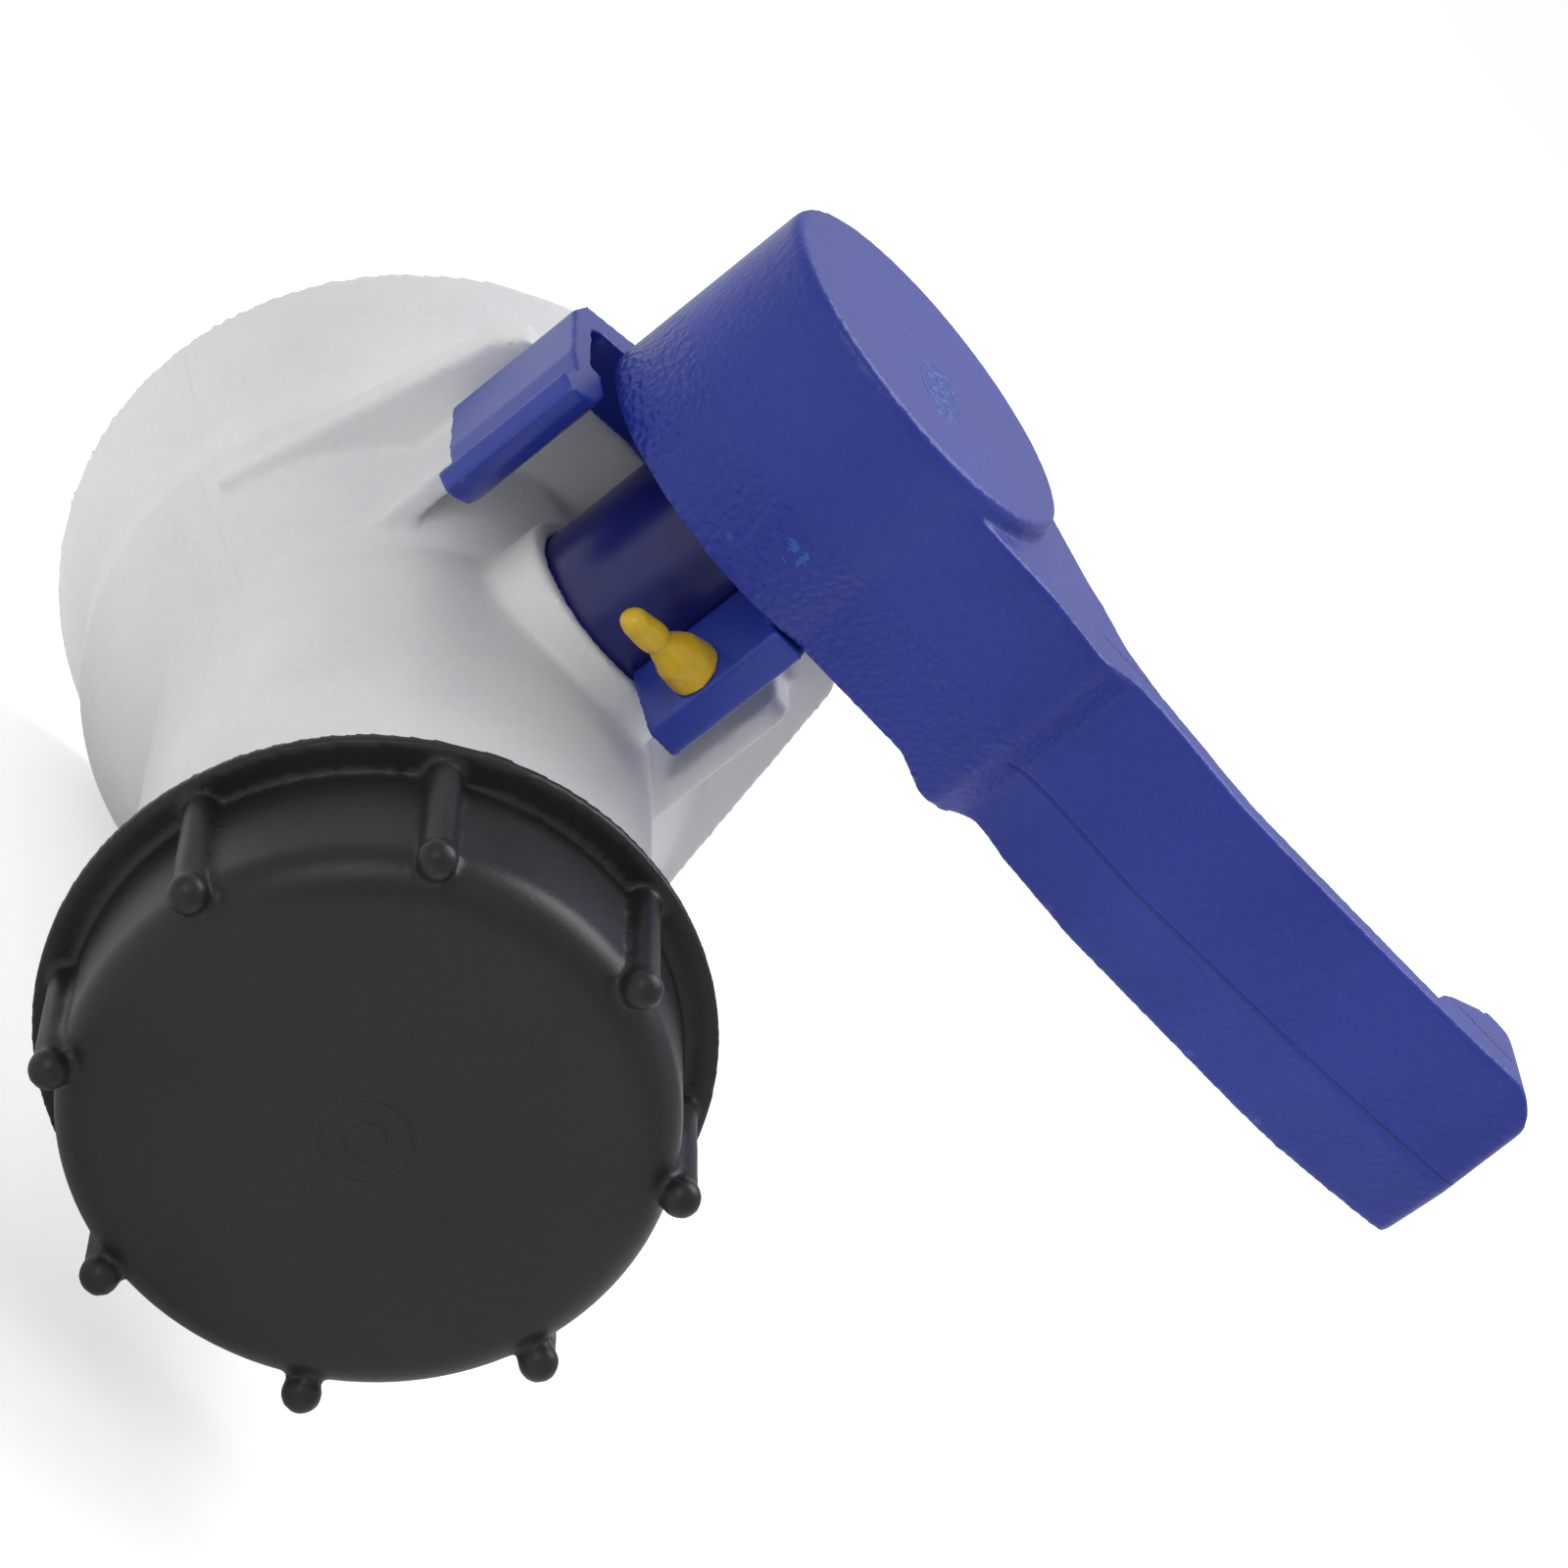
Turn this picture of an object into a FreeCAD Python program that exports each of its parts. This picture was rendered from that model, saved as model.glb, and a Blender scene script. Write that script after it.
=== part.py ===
import FreeCAD, Part
import os
import Sketcher

os.makedirs("parts", exist_ok=True)
doc = FreeCAD.newDocument("tank_valve")

# Frame: the origin is the centre of the inlet mouth. +Y points out of the mouth to the tank, +Z points
# up the stem, and the closed lever points along +X. Lengths are millimetres, angles degrees.

# ---------------------------------------------------------------- driving dimensions

SIZES = {
    # valve body, along the flow
    "stem_setback": 48.4,
    "rim_radius": 45.8,
    "bell_radius": 40.2,
    "flare_length": 18.4,
    "bell_length": 28.4,
    "shoulder_length": 17.0,
    "barrel_radius": 30.0,
    "barrel_end": 105.6,
    "outlet_root_radius": 27.3,
    "outlet_end": 122.6,
    "inlet_thread_radius": 37.4,
    "inlet_thread_length": 17.0,
    "inlet_throat_radius": 31.0,
    "throat_length": 8.0,
    "bore_radius": 24.5,
    # web plate, side walls and stem neck
    "web_front": 15.0,
    "web_thickness": 5.0,
    "web_top": 45.5,
    "web_top_half_width": 28.3,
    "web_shoulder_half_width": 30.9,
    "web_shoulder_height": 42.0,
    "web_foot_half_width": 39.0,
    "web_foot_height": 5.0,
    "wall_outer": 25.9,
    "wall_thickness": 3.2,
    "wall_depth": 10.0,
    "wall_top": 39.6,
    "wall_corner_radius": 2.5,
    "neck_radius": 14.0,
    "neck_top": 34.2,
    "neck_floor": 27.2,
    "neck_rib_width": 8.0,
    # lower trunnion
    "boss_radius": 10.5,
    "boss_bottom": 37.2,
    "boss_bore_radius": 7.5,
    "boss_counterbore_top": 27.4,
    "plug_length": 2.6,
    # seat and seals
    "liner_thickness": 2.0,
    "liner_half_length": 9.0,
    "gasket_thickness": 2.8,
    "gasket_recess_radius": 38.2,
    "o_ring_radius": 1.2,
    "lower_o_ring_radius": 1.25,
    # stem and disc
    "stem_radius": 11.76,
    "upper_shaft_radius": 7.1,
    "drive_square": 10.0,
    "square_setback": 1.4,
    "lower_shaft_radius": 4.9,
    "stem_drive_height": 20.0,
    "stem_drive_square": 15.0,
    "washer_thickness": 1.0,
    "disc_half_thickness": 3.0,
    "disc_hub_radius": 9.0,
    "pin_radius": 1.5,
    # clearances
    "running_clearance": 0.07,
    "seat_clearance": 0.15,
    "shaft_clearance": 0.1,
    "axial_play": 0.1,
    "part_gap": 0.3,
    # handle
    "hub_radius": 23.1,
    "hub_bottom": 54.2,
    "hub_top": 82.5,
    "hub_edge_radius": 0.9,
    "lever_reach": 119.6,
    "lever_front": 21.6,
    "lever_waist_front": 18.2,
    "lever_tip_front": 18.3,
    "lever_rim_width": 4.2,
    "lever_back": 2.0,
    "lever_back_top": 70.0,
    "lever_back_wall": 3.0,
    "lever_top": 79.7,
    "lever_corner_radius": 3.0,
    "parting_height": 63.5,
    "lever_bottom": 53.1,
    "block_bottom": 52.2,
    "block_length": 35.5,
    "trough_floor": 57.0,
    "tip_radius": 9.0,
    # lock collar and seal pin
    "collar_height": 19.4,
    "collar_leg_outer": 29.2,
    "collar_leg_thickness": 3.0,
    "collar_leg_back": 13.7,
    "collar_foot_front": 13.5,
    "collar_ring_thickness": 3.9,
    "collar_back_lift": 0.2,
    "jaw_front": 22.3,
    "jaw_inner": 5.6,
    "jaw_width": 4.3,
    "seal_height": 42.6,
    "seal_setback": 18.6,
    "seal_base_radius": 3.5,
    "seal_waist_radius": 1.6,
    "seal_tip_radius": 1.9,
    "seal_length": 12.4,
    "seal_shank_radius": 1.7,
    # outlet cap
    "cap_front": 127.8,
    "cap_back": 106.4,
    "cap_radius": 33.5,
    "cap_inner_radius": 30.4,
    "cap_face_thickness": 2.6,
    "cap_face_edge_radius": 5.0,
    "flange_radius": 37.5,
    "flange_thickness": 1.8,
    "cap_gasket_thickness": 2.6,
    "grip_radius": 1.9,
    "grip_centre": 34.2,
    "grip_knob_radius": 2.3,
    "grip_knob_setback": 1.1,
    "grip_phase": 35.0,
}

sheet = doc.addObject("Spreadsheet::Sheet", "Sizes")
for row, (alias, number) in enumerate(SIZES.items(), start=1):
    sheet.set(f"A{row}", alias)
    sheet.set(f"B{row}", str(number))
    sheet.setAlias(f"B{row}", alias)
doc.recompute()


class Size:
    """A length that knows its number and the spreadsheet expression that it comes from."""

    def __init__(self, number, text):
        self.number = number
        self.text = text

    def __add__(self, other):
        other = as_size(other)
        return Size(self.number + other.number, f"({self.text} + {other.text})")

    def __sub__(self, other):
        other = as_size(other)
        return Size(self.number - other.number, f"({self.text} - {other.text})")

    def __rsub__(self, other):
        return as_size(other) - self

    def __mul__(self, factor):
        return Size(self.number * factor, f"({self.text} * {factor})")

    def __neg__(self):
        return self * -1

    __radd__ = __add__
    __rmul__ = __mul__


def as_size(value):
    return value if isinstance(value, Size) else Size(float(value), str(float(value)))


class Dimensions:
    """The sheet's cells as attributes, such as dim.bore_radius."""

    def __init__(self, cells):
        for name in cells:
            setattr(self, name, Size(float(sheet.get(name)), f"Sizes.{name}"))


dim = Dimensions(SIZES)

# ---------------------------------------------------------------- document helpers

cuts = []
parts = []


def bind(obj, **sizes):
    """Tie properties of an object to the spreadsheet."""
    for name, size in sizes.items():
        obj.setExpression(name, as_size(size).text)


def place(obj, x=0, y=0, z=0, turn=None):
    """Tie an object's position to the spreadsheet; turn is (axis, degrees)."""
    if turn:
        obj.Placement.Rotation = FreeCAD.Rotation(FreeCAD.Vector(*turn[0]), turn[1])
    for axis, size in zip("xyz", (x, y, z)):
        obj.setExpression(f"Placement.Base.{axis}", as_size(size).text)


def new_body(label, on_stem_axis=True):
    """A PartDesign body; most bodies are drawn about the stem's axis, which is set back from the mouth."""
    body = doc.addObject("PartDesign::Body", label)
    body.Label = label
    if on_stem_axis:
        place(body, y=-dim.stem_setback)
    parts.append(body)
    return body


def new_sketch(body, name, role, offset=0):
    """A sketch on one of the body's own origin planes, moved along the plane's normal."""
    sketch = body.newObject("Sketcher::SketchObject", name)
    plane = [item for item in body.Origin.OriginFeatures if item.Role == role][0]
    sketch.AttachmentSupport = [(plane, "")]
    sketch.MapMode = "FlatFace"
    sketch.setExpression("AttachmentOffset.Base.z", as_size(offset).text)
    return sketch


def vector(corner):
    return FreeCAD.Vector(as_size(corner[0]).number, as_size(corner[1]).number, 0)


def arc_between(start, end, radius, left):
    """A circular arc from start to end with its centre on the left or right of the way."""
    chord = end - start
    middle = (start + end) * 0.5
    rise = max(radius ** 2 - (chord.Length / 2) ** 2, 0.0) ** 0.5
    side = FreeCAD.Vector(-chord.y, chord.x, 0).normalize() * (1 if left else -1)
    centre = middle + side * rise
    top = centre - side * radius
    return Part.Arc(start, top, end)


def outline(sketch, corners):
    """A closed outline. Each corner is (x, y), or (x, y, radius, side) where an arc leads to it."""
    count = len(corners)
    ends = []
    for index, corner in enumerate(corners):
        start, end = vector(corners[index - 1]), vector(corner)
        if len(corner) == 2:
            edge = sketch.addGeometry(Part.LineSegment(start, end), False)
            ends.append((edge, 1, 2))
            continue
        left = corner[3] == "left"
        edge = sketch.addGeometry(arc_between(start, end, as_size(corner[2]).number, left), False)
        ends.append((edge, 1, 2) if left else (edge, 2, 1))
    for index, corner in enumerate(corners):
        edge, _, last = ends[index]
        follower, first, _ = ends[(index + 1) % count]
        sketch.addConstraint(Sketcher.Constraint("Coincident", edge, last, follower, first))
        for kind, size in zip(("DistanceX", "DistanceY"), corner[:2]):
            size = as_size(size)
            name = f"{kind[-1].lower()}{index}"
            sketch.addConstraint(Sketcher.Constraint(kind, -1, 1, edge, last, size.number))
            sketch.renameConstraint(sketch.ConstraintCount - 1, name)
            sketch.setExpression(f"Constraints.{name}", size.text)
        if len(corner) == 4:
            radius = as_size(corner[2])
            sketch.addConstraint(Sketcher.Constraint("Radius", edge, radius.number))
            sketch.renameConstraint(sketch.ConstraintCount - 1, f"r{index}")
            sketch.setExpression(f"Constraints.r{index}", radius.text)
    return sketch


def circle(sketch, radius, x=0, y=0):
    """A circle tied to the spreadsheet by its centre and radius."""
    shape = Part.Circle(vector((x, y)), FreeCAD.Vector(0, 0, 1), as_size(radius).number)
    edge = sketch.addGeometry(shape, False)
    for kind, size in (("DistanceX", x), ("DistanceY", y)):
        size = as_size(size)
        sketch.addConstraint(Sketcher.Constraint(kind, -1, 1, edge, 3, size.number))
        sketch.setExpression(f"Constraints[{sketch.ConstraintCount - 1}]", size.text)
    sketch.addConstraint(Sketcher.Constraint("Radius", edge, as_size(radius).number))
    sketch.setExpression(f"Constraints[{sketch.ConstraintCount - 1}]", as_size(radius).text)
    return sketch


def box_outline(sketch, low_x, high_x, low_y, high_y):
    return outline(sketch, [(low_x, low_y), (high_x, low_y), (high_x, high_y), (low_x, high_y)])


def pad(body, sketch, length, reverse=False):
    feature = body.newObject("PartDesign::Pad", sketch.Name + "Pad")
    feature.Profile = sketch
    feature.Reversed = reverse
    bind(feature, Length=length)
    return feature


def pocket(body, sketch, length, reverse=False):
    """A pocket runs against the sketch's normal, or along it when reversed."""
    feature = body.newObject("PartDesign::Pocket", sketch.Name + "Pocket")
    feature.Profile = sketch
    feature.Reversed = reverse
    bind(feature, Length=length)
    cuts.append(feature)
    return feature


def turned(body, sketch, kind="PartDesign::Revolution", axis="V_Axis"):
    feature = body.newObject(kind, sketch.Name + "Turned")
    feature.Profile = sketch
    feature.ReferenceAxis = (sketch, [axis])
    feature.Angle = 360
    if kind == "PartDesign::Groove":
        cuts.append(feature)
    return feature


def round_edges(body, name, radius, wanted):
    """Fillet the edges of the body's tip that the test picks."""
    doc.recompute()
    base = body.Tip
    edges = [f"Edge{i}" for i, edge in enumerate(base.Shape.Edges, start=1) if wanted(edge)]
    if not edges:
        raise RuntimeError(f"{body.Label}: no edge found for {name}")
    feature = body.newObject("PartDesign::Fillet", name)
    feature.Base = (base, edges)
    bind(feature, Radius=radius)
    return feature


def spans(edge, **limits):
    """True where the edge's box has the given limits, such as zmin=3 or xmax=5, within 0.01 mm."""
    box = edge.BoundBox
    names = {"xmin": box.XMin, "xmax": box.XMax, "ymin": box.YMin,
             "ymax": box.YMax, "zmin": box.ZMin, "zmax": box.ZMax}
    return all(abs(names[key] - as_size(size).number) < 0.01 for key, size in limits.items())


def keep(obj, label):
    """Name a finished Part object as a piece of the valve."""
    obj.Label = label
    parts.append(obj)
    return obj


def cylinder(name, radius, height, **where):
    obj = doc.addObject("Part::Cylinder", name)
    bind(obj, Radius=radius, Height=height)
    place(obj, **where)
    return obj


def ring(label, inner, outer, height, **where):
    """A flat ring made as one cylinder cut from another."""
    rim = cylinder(label + "Outside", outer, height, **where)
    hole = cylinder(label + "Hole", inner, height, **where)
    cut = doc.addObject("Part::Cut", label)
    cut.Base, cut.Tool = rim, hole
    return keep(cut, label)


def torus(label, ring_radius, section_radius, **where):
    obj = doc.addObject("Part::Torus", label)
    bind(obj, Radius1=ring_radius, Radius2=section_radius)
    place(obj, **where)
    return keep(obj, label)


# ---------------------------------------------------------------- valve body
# One white moulding: bell with the tank's thread, cone to the barrel, web, side walls and neck.

body = new_body("valve_body", on_stem_axis=False)
shell = new_sketch(body, "Shell", "XY_Plane")
outline(shell, [
    (0, 0), (dim.rim_radius, 0), (dim.bell_radius, -dim.flare_length),
    (dim.bell_radius, -dim.bell_length), (dim.barrel_radius, -(dim.bell_length + dim.shoulder_length)),
    (dim.barrel_radius, -dim.barrel_end), (dim.outlet_root_radius, -dim.barrel_end),
    (dim.outlet_root_radius, -dim.outlet_end), (0, -dim.outlet_end)])
turned(body, shell)

# The web stands across the flow, behind the neck, and carries the two side walls.
web_face = -dim.stem_setback + dim.web_front
web = new_sketch(body, "Web", "XZ_Plane", -(web_face + dim.web_thickness))
outline(web, [
    (-dim.web_foot_half_width, dim.web_foot_height), (dim.web_foot_half_width, dim.web_foot_height),
    (dim.web_shoulder_half_width, dim.web_shoulder_height), (dim.web_top_half_width, dim.web_top),
    (-dim.web_top_half_width, dim.web_top), (-dim.web_shoulder_half_width, dim.web_shoulder_height)])
pad(body, web, dim.web_thickness)

wall_front = web_face - dim.wall_depth
for side, name in ((-1, "LeftWall"), (1, "RightWall")):
    edge = dim.wall_outer if side > 0 else -(dim.wall_outer - dim.wall_thickness)
    wall = new_sketch(body, name, "YZ_Plane", edge - dim.wall_thickness)
    corner = dim.wall_corner_radius
    outline(wall, [
        (web_face + 1, 0), (web_face + 1, dim.wall_top), (wall_front + corner, dim.wall_top),
        (wall_front, dim.wall_top - corner, corner, "left"), (wall_front, 0)])
    pad(body, wall, dim.wall_thickness)

neck = new_sketch(body, "Neck", "XY_Plane")
circle(neck, dim.neck_radius, y=-dim.stem_setback)
pad(body, neck, dim.neck_top)
neck_rib = new_sketch(body, "NeckRib", "XY_Plane")
box_outline(neck_rib, -0.5 * dim.neck_rib_width, 0.5 * dim.neck_rib_width,
            -dim.stem_setback + dim.stem_radius, web_face + 1)
pad(body, neck_rib, dim.neck_top)

# The shoulder is let down level with the neck, where the stem and the lock collar stand.
landing = new_sketch(body, "Landing", "XY_Plane", dim.neck_top)
landing_half = dim.stem_radius + dim.collar_ring_thickness + 2 * dim.part_gap
box_outline(landing, -landing_half, landing_half, -(dim.stem_setback + landing_half), web_face)
pocket(body, landing, dim.web_top - dim.neck_top, reverse=True)

boss = new_sketch(body, "Boss", "XY_Plane")
circle(boss, dim.boss_radius, y=-dim.stem_setback)
pad(body, boss, dim.boss_bottom, reverse=True)

# Inside: threaded mouth, gasket seat, throat, bore and the recess of the seat liner.
gasket_face = dim.inlet_thread_length + 0.5 * dim.part_gap
seat = gasket_face + dim.gasket_thickness
throat_end = seat + dim.throat_length
liner_radius = dim.bore_radius + dim.liner_thickness
liner_start = dim.stem_setback - dim.liner_half_length
liner_end = dim.stem_setback + dim.liner_half_length
flow = new_sketch(body, "Flow", "XY_Plane")
outline(flow, [
    (0, 1), (dim.inlet_thread_radius, 1), (dim.inlet_thread_radius, -dim.inlet_thread_length),
    (dim.gasket_recess_radius, -dim.inlet_thread_length), (dim.gasket_recess_radius, -seat),
    (dim.inlet_throat_radius, -seat), (liner_radius, -throat_end), (liner_radius, -liner_end),
    (dim.bore_radius, -liner_end), (dim.bore_radius, -(dim.outlet_end + 1)), (0, -(dim.outlet_end + 1))])
turned(body, flow, "PartDesign::Groove")

# Stem bore: journal from the neck's top, then a narrower way through the barrel's wall.
journal_bore = new_sketch(body, "JournalBore", "XY_Plane", dim.neck_top)
circle(journal_bore, dim.stem_radius + dim.running_clearance, y=-dim.stem_setback)
pocket(body, journal_bore, dim.neck_top - dim.neck_floor)
shaft_bore = new_sketch(body, "ShaftBore", "XY_Plane", dim.neck_floor)
circle(shaft_bore, dim.upper_shaft_radius + dim.shaft_clearance, y=-dim.stem_setback)
pocket(body, shaft_bore, dim.neck_floor)

# Lower boss: shaft hole, then a counterbore for the O-ring, bush and plug.
lower_bore = new_sketch(body, "LowerBore", "XY_Plane")
circle(lower_bore, dim.lower_shaft_radius + dim.shaft_clearance, y=-dim.stem_setback)
pocket(body, lower_bore, dim.boss_bottom)
counterbore = new_sketch(body, "Counterbore", "XY_Plane", -dim.boss_counterbore_top)
circle(counterbore, dim.boss_bore_radius, y=-dim.stem_setback)
pocket(body, counterbore, dim.boss_bottom - dim.boss_counterbore_top)

# ---------------------------------------------------------------- seat liner and inlet gasket

liner = new_body("seat_liner")
sleeve = new_sketch(liner, "Sleeve", "XY_Plane")
box_outline(sleeve, dim.bore_radius, liner_radius, -dim.liner_half_length, dim.liner_half_length)
turned(liner, sleeve)
liner_top_hole = new_sketch(liner, "LinerTopHole", "XY_Plane", liner_radius)
circle(liner_top_hole, dim.upper_shaft_radius + dim.shaft_clearance)
pocket(liner, liner_top_hole, liner_radius)
liner_low_hole = new_sketch(liner, "LinerLowHole", "XY_Plane")
circle(liner_low_hole, dim.lower_shaft_radius + dim.shaft_clearance)
pocket(liner, liner_low_hole, liner_radius)

along_flow = ((1, 0, 0), 90)
ring("inlet_gasket", dim.inlet_throat_radius, dim.gasket_recess_radius - dim.seat_clearance,
     dim.gasket_thickness, y=-gasket_face, turn=along_flow)

# ---------------------------------------------------------------- stem, washer, O-rings, bush and plug

shoulder = dim.neck_floor + dim.washer_thickness + dim.axial_play
drive_top = dim.hub_bottom + dim.stem_drive_height
groove_height = 0.5 * (shoulder + dim.neck_top)
groove_floor = dim.stem_radius - 2 * dim.o_ring_radius + 0.5 * dim.running_clearance
square_half = 0.5 * dim.drive_square
square_end = dim.bore_radius - dim.square_setback
bush_top = dim.boss_counterbore_top + 2 * dim.lower_o_ring_radius
bush_bottom = dim.boss_bottom - dim.plug_length

stem = new_body("stem")
shaft = new_sketch(stem, "Shaft", "XZ_Plane")
o_ring_half = dim.o_ring_radius + 0.5 * dim.axial_play
outline(shaft, [
    (0, -(bush_bottom - dim.axial_play)), (dim.lower_shaft_radius, -(bush_bottom - dim.axial_play)),
    (dim.lower_shaft_radius, -square_end), (dim.upper_shaft_radius, -square_end),
    (dim.upper_shaft_radius, shoulder), (dim.stem_radius, shoulder),
    (dim.stem_radius, groove_height - o_ring_half), (groove_floor, groove_height - o_ring_half),
    (groove_floor, groove_height + o_ring_half), (dim.stem_radius, groove_height + o_ring_half),
    (dim.stem_radius, drive_top), (0, drive_top)])
turned(stem, shaft)


def square_flats(owner, name, bottom, height, side, outer):
    """Cut a round stem to a square over a height, from a plane at the bottom."""
    frame = new_sketch(owner, name, "XY_Plane", bottom)
    circle(frame, outer)
    half = 0.5 * side
    box_outline(frame, -half, half, -half, half)
    pocket(owner, frame, height, reverse=True)


square_flats(stem, "DiscSquare", -square_end, square_end + dim.bore_radius, dim.drive_square,
             dim.upper_shaft_radius + 1)
square_flats(stem, "HandleSquare", dim.hub_bottom, dim.stem_drive_height, dim.stem_drive_square,
             dim.stem_radius + 1)
pin_hole = new_sketch(stem, "PinHole", "XZ_Plane", -dim.drive_square)
circle(pin_hole, dim.pin_radius)
pocket(stem, pin_hole, 2 * dim.drive_square, reverse=True)

on_stem = {"y": -dim.stem_setback}
ring("thrust_washer", dim.upper_shaft_radius + dim.shaft_clearance,
     dim.stem_radius - dim.axial_play, dim.washer_thickness, z=dim.neck_floor, **on_stem)
torus("stem_o_ring_upper", groove_floor + dim.o_ring_radius, dim.o_ring_radius, z=groove_height,
      **on_stem)
torus("stem_o_ring_lower", dim.lower_shaft_radius + dim.running_clearance + dim.lower_o_ring_radius,
      dim.lower_o_ring_radius, z=-(dim.boss_counterbore_top + dim.lower_o_ring_radius), **on_stem)
ring("lower_bush", dim.lower_shaft_radius + dim.running_clearance,
     dim.boss_bore_radius, bush_bottom - bush_top, z=-bush_bottom, **on_stem)
keep(cylinder("lower_plug", dim.boss_bore_radius, dim.plug_length, z=-dim.boss_bottom, **on_stem),
     "lower_plug")

# ---------------------------------------------------------------- disc and its cross pin

disc_radius = dim.bore_radius - dim.seat_clearance
plate = cylinder("DiscPlate", disc_radius, 2 * dim.disc_half_thickness,
                 y=dim.disc_half_thickness - dim.stem_setback, turn=along_flow)
hub = cylinder("DiscHub", dim.disc_hub_radius, 2 * disc_radius, z=-disc_radius, **on_stem)
blank = doc.addObject("Part::Fuse", "DiscBlank")
blank.Base, blank.Tool = plate, hub
ball = doc.addObject("Part::Sphere", "DiscEdge")
bind(ball, Radius=disc_radius)
place(ball, **on_stem)
trimmed = doc.addObject("Part::Common", "DiscTrimmed")
trimmed.Base, trimmed.Tool = blank, ball
square_hole = doc.addObject("Part::Box", "SquareHole")
square_side = square_half + dim.running_clearance
bind(square_hole, Length=2 * square_side, Width=2 * square_side, Height=4 * dim.bore_radius)
place(square_hole, x=-square_side, y=-(dim.stem_setback + square_side), z=-2 * dim.bore_radius)
cross_hole = cylinder("CrossHole", dim.pin_radius, 4 * dim.disc_hub_radius,
                      y=2 * dim.disc_hub_radius - dim.stem_setback, turn=along_flow)
holes = doc.addObject("Part::Fuse", "DiscHoles")
holes.Base, holes.Tool = square_hole, cross_hole
disc = doc.addObject("Part::Cut", "butterfly_disc")
disc.Base, disc.Tool = trimmed, holes
keep(disc, "butterfly_disc")
pin_half = dim.disc_hub_radius - 0.5
keep(cylinder("disc_pin", dim.pin_radius, 2 * pin_half, y=pin_half - dim.stem_setback,
              turn=along_flow), "disc_pin")

# ---------------------------------------------------------------- handle
# Hub and lever in one moulding. The lever is a tall front wall with a lower trough behind it for the
# fingers, and a rounded solid tip.

handle = new_body("handle")
rim_back = dim.lever_front - dim.lever_rim_width
waist = dim.block_length + 5
grip_start = dim.block_length + 23
tip_start = dim.lever_reach - 14
front_edge = [
    (0, -dim.lever_front), (dim.block_length - 1.5, -dim.lever_front),
    (waist - 1, -dim.lever_waist_front), (waist + 4, -dim.lever_waist_front),
    (grip_start, -dim.lever_front), (dim.lever_reach - 30, -(dim.lever_front - 0.3)),
    (tip_start, -(dim.lever_tip_front + 1.6)), (dim.lever_reach - 1.5, -dim.lever_tip_front),
    (dim.lever_reach, -8.5)]
gusset = [(grip_start + 2, -rim_back), (waist + 6, -13.7), (waist - 1, -9.9), (dim.block_length - 3, -2)]
trough_end = dim.lever_reach - 21
trough_corner = (trough_end, -12.6)


def lever_pad(name, corners, rise, reverse=False):
    """A pad from the parting plane, up or down."""
    pad(handle, outline(new_sketch(handle, name, "XY_Plane", dim.parting_height), corners), rise, reverse)


low_outline = front_edge + [
    (dim.lever_reach - 8, dim.lever_back, dim.tip_radius + 5, "left"), (60, dim.lever_back + 1),
    (waist + 1, dim.lever_back + 6), (15, 17.5), (0, 17.5)]
lever_pad("LowLever", low_outline, dim.parting_height - dim.block_bottom, reverse=True)
lever_pad("MidLever", low_outline, dim.lever_back_top - dim.parting_height)
lever_pad("HighLever", front_edge + [
    (dim.lever_reach - 4.5, -5.6, dim.tip_radius, "left"), (dim.lever_reach - 11, -5.2),
    (trough_end + 1, -11.8), (trough_end - 2.5, -rim_back),
    (grip_start + 2, -rim_back), (waist + 6.8, -12.5), (waist, -8.8),
    (dim.block_length - 2, -2), (20, 10), (0, 10)], dim.lever_top + 0.4 - dim.parting_height)

trough_back = dim.lever_back - dim.lever_back_wall
trough = new_sketch(handle, "Trough", "XY_Plane", dim.trough_floor)
outline(trough, [
    (dim.block_length + 2, dim.lever_back + 2), (dim.block_length, -4)] + gusset[2::-1] + [
    (trough_end - 2.5, -rim_back), trough_corner, (trough_end, trough_back), (60, trough_back + 1)])
pocket(handle, trough, dim.lever_top + 3 - dim.trough_floor, reverse=True)

# The front face is rounded where it turns: the block's corner, the waist, and the tip.
corner_starts = [(dim.block_length - 1.5).number, (waist - 1).number, (waist + 4).number,
                 grip_start.number, (dim.lever_reach - 1.5).number]


def turns_front(edge):
    """True for an upright edge of the front face, on either side of the parting plane."""
    box = edge.BoundBox
    upright = box.ZLength > 8 and box.XLength < 3 and box.YLength < 3
    near = [start for start in corner_starts if abs(box.Center.x - start) < 1.2]
    return upright and box.Center.y < -(dim.lever_tip_front.number - 3) and bool(near)


round_edges(handle, "FrontCorners", dim.lever_corner_radius, turns_front)

# The side outline: a stepped underside and a rounded tip, cut from both sides of the blank.
side_reach = dim.lever_reach + 5
under = new_sketch(handle, "Underside", "XZ_Plane", -30)
outline(under, [
    (-30, dim.block_bottom - 5), (side_reach, dim.block_bottom - 5), (side_reach, dim.lever_bottom + 4),
    (dim.lever_reach + 0.1, dim.lever_bottom + 4),
    (dim.lever_reach - 2.5, dim.lever_bottom + 1.3, 2.7, "right"),
    (dim.lever_reach - 22, dim.lever_bottom), (waist + 6, dim.lever_bottom),
    (waist + 1, dim.lever_bottom + 0.6), (dim.block_length + 1, dim.block_bottom),
    (dim.block_length - 3, dim.block_bottom), (dim.block_length - 8.5, dim.hub_bottom),
    (-30, dim.hub_bottom)])
pocket(handle, under, 60, reverse=True)
over = new_sketch(handle, "Topside", "XZ_Plane", -30)
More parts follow.
